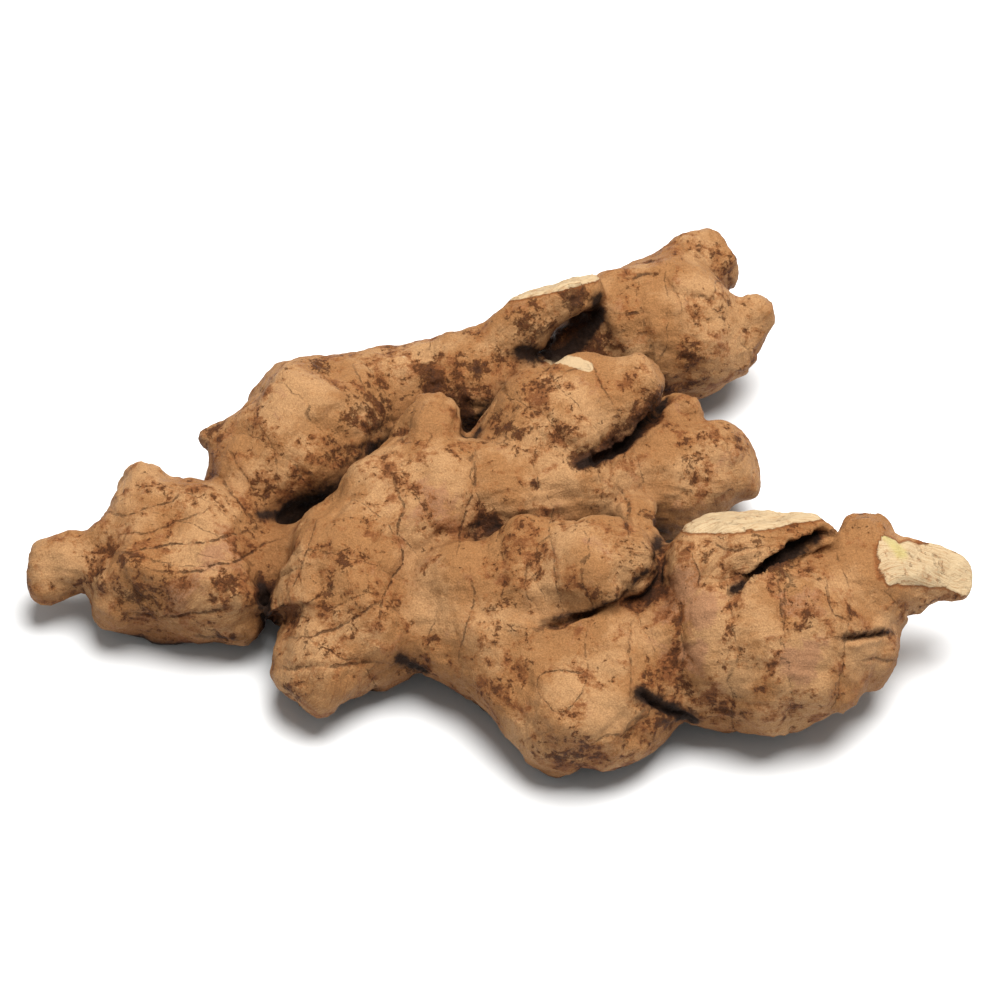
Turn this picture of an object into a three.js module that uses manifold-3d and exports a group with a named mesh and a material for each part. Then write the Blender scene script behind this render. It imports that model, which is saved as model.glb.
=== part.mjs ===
// A hand of ginger, the underground stem of the ginger plant, lying on a table.
// It grew as one piece, so it is one solid: swollen limbs that branch from each other,
// ringed by leaf scars, with knobs where buds stopped and flat faces where shoots were cut off.
// Units are millimetres, +Z is up, and the origin is on the table under the middle of the hand.
import * as THREE from 'three';
import { mergeVertices } from 'three/addons/utils/BufferGeometryUtils.js';
import Module from 'manifold-3d';

// Driving dimensions
const middleOfHand = [0, 11, 0]; // added to the spines below, so that the origin is under the middle
const sideLength = 6.6; // most that two points round a limb may be apart
const fewestSides = 8; // points round the thinnest limb
const endLoops = 4; // loops that round off each end
const loopSpacing = 5.5; // most that two loops may be apart
const scarGroove = 0.5; // depth of the groove at a leaf scar
const scarLip = 0.5; // how far the skin swells towards the next scar
const lipLength = 0.8; // length of the drop from the lip into the groove
const grooveLength = 1.4; // length of the rise from the groove to the skin
const scarWave = 0.7; // how far a scar strays from a flat ring
const lumpHeight = 0.6; // height of each of the slow waves that keep the skin from being smooth
// Pace of each slow wave in x, y and z, and where it starts
const lumpWaves = [[0.29, 0.2, 0, 0], [0, 0.34, -0.23, 1.7], [0.37, 0, 0.3, 2.9]];
const cutBlock = 80; // block that takes off what lies beyond a cut
const tableSize = 320; // slab that takes off what would reach under the table

// Each limb has a spine from root to tip, as points [x, y, z, radius], and the places of its
// leaf scars, measured along the spine. wide and tall stretch its section across and upwards.
// Past the ends of the spine a limb is rounded off over the end radius, or where it is blunt
// over rootRound or tipRound. A cut is a flat face where a shoot was taken off: a point on it
// and the way it faces.
const limbs = {
  heel: {
    spine: [
      [-69, -40, 13, 13.5], [-68, -34, 13, 14], [-66, -27, 14, 13.5], [-62, -20, 14, 12.5],
      [-60, -16, 14, 11],
    ],
    wide: 1.38, tall: 0.95, rootRound: 5, tipRound: 4, scars: [1, 6, 12, 18],
  },
  heelLeft: {
    spine: [[-74, -30, 12, 10], [-79, -37, 10, 8.5], [-79, -40, 9, 7.5]],
    tipRound: 4,
  },
  heelRight: {
    spine: [[-61, -29, 12, 11.5], [-57, -38, 9, 7.5], [-56, -41, 9, 5]],
    tipRound: 4,
  },
  heelLink: {
    spine: [[-60, -27, 13, 11], [-51, -27, 13, 9.5], [-40, -30, 14, 11]],
  },
  heelKnob: {
    spine: [[-75, -23, 16, 10], [-75.5, -17, 18, 8], [-75.5, -13, 19, 6.5]],
    scars: [6],
  },
  earKnob: {
    spine: [[-79, -29, 14, 6], [-84, -29.5, 13.5, 5.2], [-89, -29, 13, 7], [-94, -29, 13, 7]],
    tipRound: 6, scars: [7],
  },
  backShoulder: {
    spine: [
      [-57, -17, 14, 9], [-52, -10, 15, 13], [-46, -3, 16, 16], [-40, 4, 16, 16.5],
      [-32, 10.5, 16, 14.8], [-25, 15, 16.5, 11.5], [-18, 16.5, 17, 10.8],
    ],
    rootRound: 4, scars: [13, 22, 32, 42],
  },
  budFlake: {
    spine: [[-55, 0, 18, 4], [-58, 2, 19, 3.5], [-62, 3, 20, 2.5]],
  },
  backNeck: {
    spine: [
      [-25, 16, 17, 10], [-15, 16, 18, 11.5], [-5, 17, 18, 12], [1, 17, 16, 11], [9, 19, 12, 8.5],
      [16, 25, 12, 8.5], [24, 32, 15, 11],
    ],
    scars: [10, 20, 29],
  },
  backStub: {
    spine: [
      [-6, 18, 20, 9], [-2, 21, 25.5, 8], [4, 25, 30, 6.6], [12.5, 29.5, 32, 5.4], [18, 32, 30, 6],
    ],
    tipRound: 4, scars: [8],
    cut: { at: [7.5, 29.3, 33.6], facing: [-0.3, 0.55, 0.78] },
  },
  backEnd: {
    spine: [[24, 33, 16, 14], [31, 35, 16, 16], [37, 35, 16, 16], [44, 35, 16, 15], [50, 35, 16, 12.5]],
    rootRound: 7, tipRound: 6, scars: [4, 12, 20],
  },
  backTopKnob: {
    spine: [[35, 38, 20, 10.5], [42, 45, 21, 9.5], [47, 50, 22.5, 8]],
    tipRound: 4, scars: [9],
  },
  backSideKnob: {
    spine: [[44, 33, 18, 12], [51, 36, 19, 9.5], [55, 38, 20, 7]],
    tipRound: 4, scars: [8],
  },
  middleLimb: {
    spine: [
      [-40, -59, 8, 8], [-38, -54, 11, 13], [-33.5, -47, 13, 14.5], [-32, -38, 16, 14.5],
      [-27, -28, 19, 14], [-18, -21, 20, 13.8], [-8, -19, 20, 13.5], [4, -16, 19, 13.8],
      [15, -11, 17, 13.5], [26, -7, 15, 12.5], [36, -5, 14, 13], [46, -5, 14, 11],
    ],
    wide: 1.06, rootRound: 4, tipRound: 6, scars: [8, 16, 26, 36, 47, 59, 71, 83, 93],
  },
  heelOfMiddle: {
    spine: [[-31, -41, 14, 12], [-25, -44.5, 12, 12], [-19, -47, 10, 10]],
    tipRound: 5,
  },
  thumb: {
    spine: [[-22, -19, 20, 13], [-18, -10, 22, 10], [-15, -3, 25, 7.5], [-14, 0, 27, 5.5]],
    tipRound: 4, scars: [14],
  },
  risingStub: {
    spine: [[3, -11, 19, 13], [8, -5, 25, 13], [16, 0, 29, 12], [24, 3, 31, 9.5], [30, 5, 33, 6.5]],
    tall: 0.92, tipRound: 4, scars: [13, 20],
  },
  middleEndKnob: {
    spine: [[40, -4, 14, 11], [46, -3, 15.5, 10], [50.5, -2, 17.5, 8.5]],
    tipRound: 4, scars: [5],
  },
  middleBackKnob: {
    spine: [[31, -3, 17, 11], [34.5, 3, 19, 8.5], [36, 7, 20, 5.5]],
    tipRound: 4, scars: [6],
  },
  frontLimb: {
    spine: [
      [-18, -41, 14, 10.5], [-10, -44, 14, 13.5], [2, -48, 14, 14.5], [14, -52, 14, 14.5],
      [26, -53, 14, 13.5], [35, -52, 15, 14.5], [46, -52.5, 16, 17.5], [57, -52.5, 17, 18],
      [67, -52, 16, 16], [73, -52, 15, 12.5], [76, -52, 14, 10],
    ],
    tall: 0.95, rootRound: 7, tipRound: 6, scars: [7, 19, 30, 41, 50, 58, 68, 78, 88],
  },
  frontSkirt: {
    spine: [[-9, -46, 12, 10], [2, -54, 12, 11.5], [13, -61, 11, 12]],
  },
  endLobe: {
    spine: [[67, -54, 14, 9], [74, -53, 13, 8], [78, -52, 12, 6.5]],
    tipRound: 4, scars: [8],
  },
  footLobe: {
    spine: [[18, -55, 13, 14], [19.5, -61, 13, 14.5], [21.5, -67, 11, 13.5], [23, -70, 10, 12]],
    wide: 1.4, tall: 0.95, tipRound: 5, scars: [16],
  },
  frontFinger: {
    spine: [
      [-8, -41, 18, 11.5], [4, -41, 22, 12], [14, -42, 26, 11.5], [24, -41, 28, 10.5],
      [29, -41, 28, 8.5],
    ],
    tipRound: 6, scars: [12, 21, 29],
  },
  cutShoot: {
    spine: [
      [37, -49, 18, 11], [40, -43, 24, 10.5], [45, -40, 30, 10], [51, -38.5, 32, 9],
      [61, -36.5, 34.5, 5.4], [66, -37, 34.5, 3.6],
    ],
    tipRound: 4, scars: [7],
    cut: { at: [49.7, -37, 34.9], facing: [-0.15, 0.47, 0.87] },
  },
  rightLimb: {
    spine: [
      [63, -45, 19, 14], [73, -42, 21, 12], [80.5, -40, 22.5, 8.6], [88, -38.5, 22.5, 6.8],
      [93.5, -37.5, 22, 5.6],
    ],
    tipRound: 5, scars: [9, 17],
    cut: { at: [90, -38, 27], facing: [0.4, 0.25, 0.88] },
  },
  rightKnob: {
    spine: [[74, -40, 23, 9], [76, -35, 26, 7.5], [76.5, -32, 28, 6]],
    tipRound: 4,
  },
  driedSheath: {
    spine: [
      [27, -10, 14, 3], [29, -20, 21, 2.8], [31, -32, 27, 2.2], [32, -39, 26, 2.2], [32, -47, 20, 3],
    ],
    wide: 1.6,
  },
};

const wasm = await Module();
wasm.setup();

function solidFrom(geometry) {
  const bare = new THREE.BufferGeometry();
  bare.setAttribute('position', geometry.getAttribute('position'));
  bare.setIndex(geometry.getIndex());
  const merged = mergeVertices(bare, 1e-4);
  return new wasm.Manifold(new wasm.Mesh({
    numProp: 3,
    vertProperties: merged.attributes.position.array,
    triVerts: new Uint32Array(merged.index.array),
  }));
}

// How far the skin swells or sinks at a place
function lump([x, y, z]) {
  const waves = lumpWaves.map(([a, b, c, start]) => Math.sin(a * x + b * y + c * z + start));
  return lumpHeight * (waves[0] + waves[1] + waves[2]);
}

// How far the skin stands off the plain limb at a place along it:
// it swells up to each scar and drops into its groove
function scarProfile(at, scars, length) {
  if (at < 0 || at > length) return 0;
  const before = Math.max(0, ...scars.filter((scar) => scar <= at));
  const after = Math.min(length, ...scars.filter((scar) => scar > at));
  const swell = scarLip * ((at - before) / (after - before)) ** 3;
  const drop = scars.includes(after) ? Math.max(0, 1 - (after - at) / lipLength) : 0;
  const rise = scars.includes(before) ? Math.max(0, 1 - (at - before) / grooveLength) : 0;
  return swell * (1 - drop) - scarGroove * Math.max(drop, rise);
}

// Places of the loops along a limb: on each scar and beside it, and no more than loopSpacing apart
function bodyStations(length, scars) {
  const wanted = [0, length];
  for (const scar of scars) wanted.push(scar - lipLength, scar, scar + grooveLength);
  const sorted = wanted.filter((at) => at >= 0 && at <= length).sort((a, b) => a - b);
  const stations = [];
  sorted.forEach((at, i) => {
    stations.push(at);
    if (i === sorted.length - 1) return;
    const gap = sorted[i + 1] - at;
    const parts = Math.ceil(gap / loopSpacing);
    for (let k = 1; k < parts; k++) stations.push(at + (gap * k) / parts);
  });
  return stations;
}

function limbSolid({ spine, wide = 1, tall = 1, scars = [], rootRound, tipRound, cut }) {
  const points = spine.map(([x, y, z]) => new THREE.Vector3(x, y, z));
  const path = new THREE.CatmullRomCurve3(points, false, 'catmullrom', 0.5);
  const girth = new THREE.SplineCurve(spine.map(([, , , radius], i) => new THREE.Vector2(i, radius)));
  const length = path.getLength();
  const rootDome = rootRound ?? spine[0][3];
  const tipDome = tipRound ?? spine.at(-1)[3];
  const thickest = Math.max(...spine.map(([, , , radius]) => radius));
  const sides = Math.max(fewestSides, Math.round((2 * Math.PI * thickest) / sideLength));

  // Loops as [place along the spine, share of the radius], rounded off past both ends
  const loops = [];
  for (let i = 1; i < endLoops; i++) {
    const turn = (i / endLoops) * Math.PI / 2;
    loops.push([-rootDome * Math.cos(turn), Math.sin(turn)]);
  }
  for (const at of bodyStations(length, scars)) loops.push([at, 1]);
  for (let i = 1; i < endLoops; i++) {
    const turn = (i / endLoops) * Math.PI / 2;
    loops.push([length + tipDome * Math.sin(turn), Math.cos(turn)]);
  }

  // Past its ends the spine runs straight on
  const placeOn = (at) => {
    const inside = Math.min(length, Math.max(0, at));
    const u = path.getUtoTmapping(inside / length);
    const along = path.getTangent(u);
    const centre = path.getPoint(u).addScaledVector(along, at - inside);
    return { along, centre, plainRadius: girth.getPoint(u).y };
  };

  const up = new THREE.Vector3(0, 0, 1);
  const vertices = [placeOn(-rootDome).centre];
  for (const [at, share] of loops) {
    const { along, centre, plainRadius } = placeOn(at);
    const across = new THREE.Vector3().crossVectors(up, along).normalize();
    const over = new THREE.Vector3().crossVectors(along, across);
    const radius = (plainRadius + scarProfile(at, scars, length)) * share;
    for (let k = 0; k < sides; k++) {
      const turn = (k / sides) * 2 * Math.PI;
      const outward = new THREE.Vector3()
        .addScaledVector(across, Math.cos(turn) * wide)
        .addScaledVector(over, Math.sin(turn) * tall);
      const point = centre.clone().addScaledVector(outward, radius);
      point.addScaledVector(outward, lump(point.toArray()) * share);
      point.addScaledVector(along, scarWave * share * Math.sin(2 * turn + at));
      vertices.push(point);
    }
  }
  vertices.push(placeOn(length + tipDome).centre);

  const faces = [];
  const last = vertices.length - 1;
  for (let k = 0; k < sides; k++) {
    const next = (k + 1) % sides;
    faces.push(0, 1 + next, 1 + k);
    for (let row = 0; row < loops.length - 1; row++) {
      const here = 1 + row * sides;
      const there = here + sides;
      faces.push(here + k, here + next, there + next, here + k, there + next, there + k);
    }
    const end = 1 + (loops.length - 1) * sides;
    faces.push(last, end + k, end + next);
  }
  const geometry = new THREE.BufferGeometry().setFromPoints(vertices);
  geometry.setIndex(faces);
  const solid = solidFrom(geometry);
  return cut ? solid.subtract(blockBeyond(cut.at, cut.facing)) : solid;
}

// A block whose face passes through a point and whose bulk lies on the side that the face looks to
function blockBeyond(at, facing) {
  const way = new THREE.Vector3(...facing).normalize();
  const block = new THREE.BoxGeometry(cutBlock, cutBlock, cutBlock);
  block.translate(0, 0, cutBlock / 2);
  block.applyQuaternion(new THREE.Quaternion().setFromUnitVectors(new THREE.Vector3(0, 0, 1), way));
  block.translate(...at);
  return solidFrom(block);
}

// What would reach under the table is pressed flat, which gives the small spots that the hand rests on
function underTable() {
  const slab = new THREE.BoxGeometry(tableSize, tableSize, cutBlock);
  slab.translate(0, 0, -cutBlock / 2);
  return solidFrom(slab);
}

// The limbs grow into one body, moved so that the origin is under its middle
function handGeometry() {
  let solid = null;
  for (const limb of Object.values(limbs)) {
    const grown = limbSolid(limb);
    solid = solid ? solid.add(grown) : grown;
  }
  const mesh = solid.subtract(underTable()).getMesh();
  const positions = new Float32Array(mesh.numVert * 3);
  for (let i = 0; i < mesh.numVert; i++) {
    positions.set(mesh.vertProperties.subarray(i * mesh.numProp, i * mesh.numProp + 3), i * 3);
  }
  const geometry = new THREE.BufferGeometry();
  geometry.setAttribute('position', new THREE.BufferAttribute(positions, 3));
  geometry.setIndex(new THREE.BufferAttribute(new Uint32Array(mesh.triVerts), 1));
  geometry.translate(...middleOfHand);
  geometry.computeVertexNormals();
  return geometry;
}

const skin = new THREE.MeshStandardMaterial({ color: 0xc39a6c, roughness: 0.72, metalness: 0 });
const rhizome = new THREE.Mesh(handGeometry(), skin);
rhizome.name = 'rhizome';

const ginger = new THREE.Group();
ginger.add(rhizome);
export default ginger;
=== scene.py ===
import math

import bpy
import numpy as np
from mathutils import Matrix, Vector
from mathutils.bvhtree import BVHTree


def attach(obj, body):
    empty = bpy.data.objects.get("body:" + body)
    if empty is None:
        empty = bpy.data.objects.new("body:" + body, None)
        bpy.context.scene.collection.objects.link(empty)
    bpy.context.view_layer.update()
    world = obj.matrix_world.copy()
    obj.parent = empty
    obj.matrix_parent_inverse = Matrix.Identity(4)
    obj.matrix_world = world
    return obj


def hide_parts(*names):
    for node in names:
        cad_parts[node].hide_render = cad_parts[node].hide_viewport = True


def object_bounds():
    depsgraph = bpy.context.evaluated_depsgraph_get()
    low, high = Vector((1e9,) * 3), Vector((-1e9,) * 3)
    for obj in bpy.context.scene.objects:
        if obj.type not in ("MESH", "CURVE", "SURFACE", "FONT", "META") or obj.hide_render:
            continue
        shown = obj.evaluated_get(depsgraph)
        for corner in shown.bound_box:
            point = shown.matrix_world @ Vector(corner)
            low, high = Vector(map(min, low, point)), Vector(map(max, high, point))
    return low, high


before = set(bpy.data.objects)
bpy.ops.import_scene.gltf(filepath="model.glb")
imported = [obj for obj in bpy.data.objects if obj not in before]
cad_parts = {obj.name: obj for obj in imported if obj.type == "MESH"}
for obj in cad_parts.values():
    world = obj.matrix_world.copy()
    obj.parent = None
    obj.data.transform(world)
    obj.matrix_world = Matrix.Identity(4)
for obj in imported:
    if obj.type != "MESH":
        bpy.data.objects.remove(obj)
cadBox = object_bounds()

# Shapes are worked out in millimetres and put into the meshes in metres
mm = 0.001
middleOfHand = np.array([0.0, 11.0, 0.0])  # from the spines to the frame
farAway = 99.0  # mm, where there is nothing near


# The camera comes first, because some marks are placed by where they are seen

camera = {
    "target": (0.0, -1.6, 15.0),  # what is in the middle of the picture, mm
    "elevation": 50.0,  # degrees above the table
    "distance": 900.0,  # mm
    "lens": 153.1,
    "sensor": 36.0,
    "picture": 1000,  # pixels along each side
}


def cameraPlace():
    lift = math.radians(camera["elevation"])
    back = np.array([0.0, -math.cos(lift), math.sin(lift)])
    up = np.array([0.0, math.sin(lift), math.cos(lift)])
    return np.array(camera["target"]) + back * camera["distance"], back, up


def addCamera():
    place, back, up = cameraPlace()
    bpy.ops.object.camera_add(
        location=place * mm, rotation=(math.radians(90 - camera["elevation"]), 0, 0)
    )
    bpy.context.object.data.lens = camera["lens"]
    bpy.context.object.data.sensor_width = camera["sensor"]
    bpy.context.scene.camera = bpy.context.object


addCamera()
print("camera is in place")


# The limbs of the hand. Each spine runs from root to tip as [x, y, z, radius], with the
# places of its leaf scars along it. wide and tall stretch its section, and the ends are
# rounded off past the spine. roots is how far from its root a limb is grown together with
# what carries it: beyond that the two only lie against each other.

limbs = {
    "heel": dict(spine=[
        [-69, -39, 13, 13.2], [-68, -34, 13, 14], [-66, -27, 14, 13.5], [-62, -20, 14, 12.5],
        [-60, -16, 14, 11],
    ], wide=1.38, tall=0.95, rootRound=5, tipRound=4, scars=[1, 6, 12, 18], roots=0),
    "heelLeft": dict(spine=[
        [-74, -30, 12, 10], [-79.6, -36, 10, 8.6], [-80, -38.8, 9, 7.6],
    ], tipRound=4, roots=20),
    "heelRight": dict(spine=[
        [-61, -29, 12, 11.5], [-56, -38, 9, 7.5], [-54, -42, 9, 5.5],
    ], tipRound=4, roots=20),
    "heelLink": dict(spine=[[-60, -27, 13, 11], [-51, -27.5, 12, 8.8], [-40, -31, 13, 10.5]], roots=12),
    "heelKnob": dict(spine=[
        [-74.6, -23, 16, 9.4], [-75.5, -17, 18, 8], [-75.5, -13, 19, 6.5],
    ], scars=[6], roots=6),
    "earKnob": dict(spine=[
        [-79, -30, 14, 6], [-84, -31, 13.5, 5], [-89, -30, 13, 7], [-93.8, -29.5, 13, 7],
    ], tipRound=6, scars=[7], roots=8),
    "backShoulder": dict(spine=[
        [-57, -17, 14, 8.6], [-52, -10, 15, 11.6], [-46, -3, 16, 15.5], [-40, 4, 16, 16.2],
        [-32, 10.5, 16, 14.5], [-25, 15, 16.5, 11.1], [-18, 16.5, 17, 10.8],
    ], rootRound=4, scars=[13, 22, 32, 42], roots=8),
    "budFlake": dict(spine=[[-55, -0.5, 18.5, 5], [-58.5, 0.2, 19.5, 4.5], [-61.5, 0, 20.3, 3]]),
    "backNeck": dict(spine=[
        [-25, 16, 17, 10], [-15, 16, 18, 11.5], [-5, 17, 18, 12], [1, 17, 16, 11], [9, 19, 12, 8.8],
        [16, 25, 13, 9.2], [24, 32, 15, 11],
    ], scars=[10, 20, 29]),
    "backStub": dict(spine=[
        [-6, 17.5, 19, 8.6], [-2, 20.6, 24.6, 7.4], [4, 24.5, 29.2, 6.2], [12.5, 29.6, 32.2, 5.6],
        [18, 32.2, 30.8, 6],
    ], tipRound=4, scars=[8], cut=dict(at=[7.9, 29.8, 35], facing=[-0.2, 0.64, 0.74])),
    "backEnd": dict(spine=[
        [24, 33, 16, 14], [31, 35, 16, 16], [37, 35, 16, 16], [43, 34, 16, 14.6], [48, 32, 15, 11.5],
    ], rootRound=7, tipRound=6, scars=[4, 12, 20]),
    "backTopKnob": dict(spine=[
        [35, 39, 20, 10.5], [41, 46.8, 21, 8.5], [48, 50.9, 22, 7.8],
    ], tipRound=4, scars=[9]),
    "backSideKnob": dict(spine=[
        [43, 31, 17, 12], [50.5, 33, 17.5, 8.5], [55.4, 36.6, 20.3, 6],
    ], tipRound=4, scars=[8]),
    "middleLimb": dict(spine=[
        [-39.8, -58.2, 8, 7.8], [-35.4, -52.6, 11.5, 11.2], [-32.2, -46.8, 13, 14], [-32, -38, 16, 14.5],
        [-27, -28.5, 18.5, 13.2], [-18, -21, 20, 13.8], [-8, -19, 20, 13.5], [4, -16, 19, 13.8],
        [15, -11, 17, 13.5], [26, -7, 15, 12.5], [36, -5, 14, 13], [45, -5, 14, 10.6],
    ], wide=1.06, rootRound=4, tipRound=6, scars=[8, 16, 26, 36, 47, 59, 71, 83, 93], roots=0),
    "heelOfMiddle": dict(spine=[
        [-31, -41, 14, 12], [-25, -44.2, 12, 11.6], [-19, -46.2, 10.5, 8.8],
    ], tipRound=5, roots=14),
    "thumb": dict(spine=[
        [-21, -19, 19, 11.5], [-17, -11.5, 24, 9.4], [-15, -3.5, 28, 6.9], [-14, -0.5, 29, 5],
    ], tipRound=3.5, scars=[14], roots=9),
    "risingStub": dict(spine=[
        [3, -11, 19, 13], [8, -5, 25, 13], [16, 0, 29, 12], [24, 3, 31, 9.5], [30, 5, 33, 6.5],
    ], tall=0.92, tipRound=4, scars=[13, 20], roots=10),
    "middleEndKnob": dict(spine=[
        [40, -4, 14, 11], [46, -3, 14.8, 9.4], [50.4, -2.2, 17, 7.4],
    ], tipRound=3.4, scars=[5]),
    "middleBackKnob": dict(spine=[
        [31, -3, 17, 11], [35, 3, 18.5, 8.5], [38.6, 6.8, 20, 6],
    ], tipRound=4, scars=[6]),
    "frontLimb": dict(spine=[
        [-18, -41, 14, 10.5], [-10, -44, 14, 13.5], [2, -48, 14, 14.5], [14, -52, 14, 14.5],
        [26, -53, 14, 13.5], [35, -52, 15, 14.5], [46, -52.8, 16, 17.9], [57, -52.8, 17, 18.3],
        [67, -52, 16, 16], [73, -52.3, 15, 12.3], [75.5, -52.5, 14, 9.5],
    ], tall=0.95, rootRound=7, tipRound=6, scars=[7, 19, 30, 41, 50, 58, 68, 78, 88], roots=12),
    "frontSkirt": dict(spine=[[-9, -46, 12, 10], [2, -54.4, 12, 11.8], [12, -61.6, 11, 12.6]], roots=30),
    "endLobe": dict(spine=[
        [67, -54, 14, 9], [74, -53.8, 13, 8.4], [77.3, -54, 12, 7.3],
    ], tipRound=4, scars=[8]),
    "footLobe": dict(spine=[
        [18, -55, 13, 14], [20.5, -61, 13, 14.5], [26, -65, 11, 12.8], [29, -67.4, 9, 10.4],
    ], wide=1.56, tall=0.95, tipRound=5, scars=[16], roots=16),
    "frontFinger": dict(spine=[
        [-8, -41, 18, 11.5], [4, -41, 22, 12], [14, -42, 26, 11.5], [22.5, -41, 29, 10.3],
        [27, -41, 29, 8.3],
    ], tipRound=5, scars=[12, 21, 29], roots=10),
    "cutShoot": dict(spine=[
        [38.5, -48, 18, 10.5], [41, -43, 24, 10], [45.5, -40, 29.1, 9.6], [51, -38.5, 31.1, 9],
        [61, -36.8, 33.4, 5.4], [65.5, -37.6, 32.6, 3.4],
    ], tipRound=4, scars=[7], cut=dict(at=[49.7, -36.2, 36.3], facing=[-0.09, 0.62, 0.78]), roots=9),
    "rightLimb": dict(spine=[
        [63, -45, 19, 14], [73, -42, 21, 11.5], [80.5, -39, 24, 8.7], [88, -39.1, 22.5, 6.8],
        [92.8, -39.2, 20.9, 5.1],
    ], tipRound=5, scars=[9, 17], cut=dict(at=[88.3, -40, 27.3], facing=[0.51, -0.21, 0.835]), roots=9),
    "rightKnob": dict(spine=[[74, -40, 23, 9], [76, -35, 26, 7.5], [76.5, -32, 28, 6]], tipRound=4),
    "driedSheath": dict(spine=[
        [27, -10, 14, 3], [29, -20, 21, 2.8], [31, -32, 27, 2.2], [32, -39, 26, 2.2], [32, -47, 20, 3],
    ], wide=1.6, roots=4),
}

shaping = {
    "loftStep": 1.3,  # mm between the points of a limb before it is joined to the others
    "domeRings": 7,  # rings in each round end
    "lumpHeight": 0.6,  # slow waves of the skin, as in the solid
    "lumpWaves": [(0.29, 0.2, 0, 0), (0, 0.34, -0.23, 1.7), (0.37, 0, 0.3, 2.9)],
    "voxel": 0.56,  # mm, size of the faces while the skin is shaped
    "faces": 190000,  # triangles that are kept
    "filletWidth": 3.2,  # mm from a fork over which limbs are grown together
    "filletRounds": 45,
    "filletLeast": 0.06,  # how much of that limbs get that only lie against each other
}


def catmull(rows, t, runsOn):
    # a smooth curve through rows, as in the solid
    first = 2 * rows[0] - rows[1] if runsOn else rows[0]
    last = 2 * rows[-1] - rows[-2] if runsOn else rows[-1]
    padded = np.vstack([first, rows, last])
    place = np.clip(t, 0, 1) * (len(rows) - 1)
    k = np.minimum(place.astype(int), len(rows) - 2)
    f = (place - k)[:, None]
    a, b, c, d = (padded[k + i] for i in range(4))
    square, cube = 2 * a - 5 * b + 4 * c - d, 3 * b - a - 3 * c + d
    return 0.5 * (2 * b + (c - a) * f + square * f**2 + cube * f**3)


def spineOf(limb):
    rows = np.array(limb["spine"], float)
    t = np.linspace(0, 1, 500)
    places = catmull(rows[:, :3], t, True)
    girth = catmull(rows[:, 3:], t, False)[:, 0]
    run = np.concatenate([[0], np.cumsum(np.linalg.norm(np.diff(places, axis=0), axis=1))])
    tangents = np.gradient(places, run, axis=0)
    tangents /= np.linalg.norm(tangents, axis=1)[:, None]
    return dict(run=run, places=places, girth=girth, tangents=tangents, length=run[-1])


def alongSpine(spine, at):
    # centre, direction, sideways, upwards and radius at each place along a spine
    inside = np.clip(at, 0, spine["length"])
    centre = np.stack([np.interp(inside, spine["run"], spine["places"][:, i]) for i in range(3)], 1)
    along = np.stack([np.interp(inside, spine["run"], spine["tangents"][:, i]) for i in range(3)], 1)
    along /= np.linalg.norm(along, axis=1)[:, None]
    centre = centre + along * (at - inside)[:, None]
    across = np.cross([0.0, 0.0, 1.0], along)
    across /= np.linalg.norm(across, axis=1)[:, None]
    over = np.cross(along, across)
    return centre, along, across, over, np.interp(inside, spine["run"], spine["girth"])


def domesOf(limb):
    # how far the two round ends reach past the spine
    rootRadius, tipRadius = limb["spine"][0][3], limb["spine"][-1][3]
    return limb.get("rootRound", rootRadius), limb.get("tipRound", tipRadius)


def lump(points):
    total = 0
    for a, b, c, start in shaping["lumpWaves"]:
        total = total + np.sin(points @ np.array([a, b, c]) + start)
    return shaping["lumpHeight"] * total


def deselectAll():
    for thing in bpy.context.selected_objects:
        thing.select_set(False)


def read(items, what, width, kind=float):
    flat = np.empty(len(items) * width, dtype=kind)
    items.foreach_get(what, flat)
    return flat.reshape(-1, width)


def pointsOf(mesh):
    return read(mesh.vertices, "co", 3) / mm - middleOfHand


def movePoints(mesh, points):
    placed = ((points + middleOfHand) * mm).astype(np.float32)
    mesh.vertices.foreach_set("co", placed.ravel())
    mesh.update()


def growLimb(name, limb):
    # a ball whose rings are moved along the spine
    spine = spineOf(limb)
    rootDome, tipDome = domesOf(limb)
    step = shaping["loftStep"]
    bow = np.arange(0, shaping["domeRings"]) / shaping["domeRings"] * math.pi / 2
    body = np.linspace(0, spine["length"], max(3, round(spine["length"] / step)))
    at = np.concatenate([-rootDome * np.cos(bow), body, spine["length"] + tipDome * np.cos(bow[::-1])])
    share = np.concatenate([np.sin(bow), np.ones(len(body)), np.sin(bow[::-1])])
    sides = max(16, round(2 * math.pi * spine["girth"].max() / step))
    deselectAll()
    bpy.ops.mesh.primitive_uv_sphere_add(segments=sides, ring_count=len(at) - 1, radius=1)
    piece = bpy.context.object
    piece.name = name
    ball = read(piece.data.vertices, "co", 3)
    ring = np.rint((1 - np.arccos(np.clip(ball[:, 2], -1, 1)) / math.pi) * (len(at) - 1)).astype(int)
    turn = np.arctan2(ball[:, 1], ball[:, 0])
    centre, along, across, over, radius = alongSpine(spine, at[ring])
    outward = across * (np.cos(turn) * limb.get("wide", 1))[:, None]
    outward += over * (np.sin(turn) * limb.get("tall", 1))[:, None]
    points = centre + outward * (radius * share[ring])[:, None]
    points += outward * (lump(points) * share[ring])[:, None]
    movePoints(piece.data, points)
    if "cut" in limb:
        bpy.ops.object.mode_set(mode="EDIT")
        bpy.ops.mesh.select_all(action="SELECT")
        bpy.ops.mesh.bisect(
            plane_co=(np.array(limb["cut"]["at"]) + middleOfHand) * mm,
            plane_no=Vector(limb["cut"]["facing"]).normalized(),
            use_fill=True, clear_outer=True,
        )
        bpy.ops.object.mode_set(mode="OBJECT")
    return piece


def applyModifier(piece, kind, settings):
    modifier = piece.modifiers.new(kind.title(), kind)
    for key, value in settings.items():
        setattr(modifier, key, value)
    bpy.context.view_layer.objects.active = piece
    bpy.ops.object.modifier_apply(modifier=modifier.name)


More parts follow.
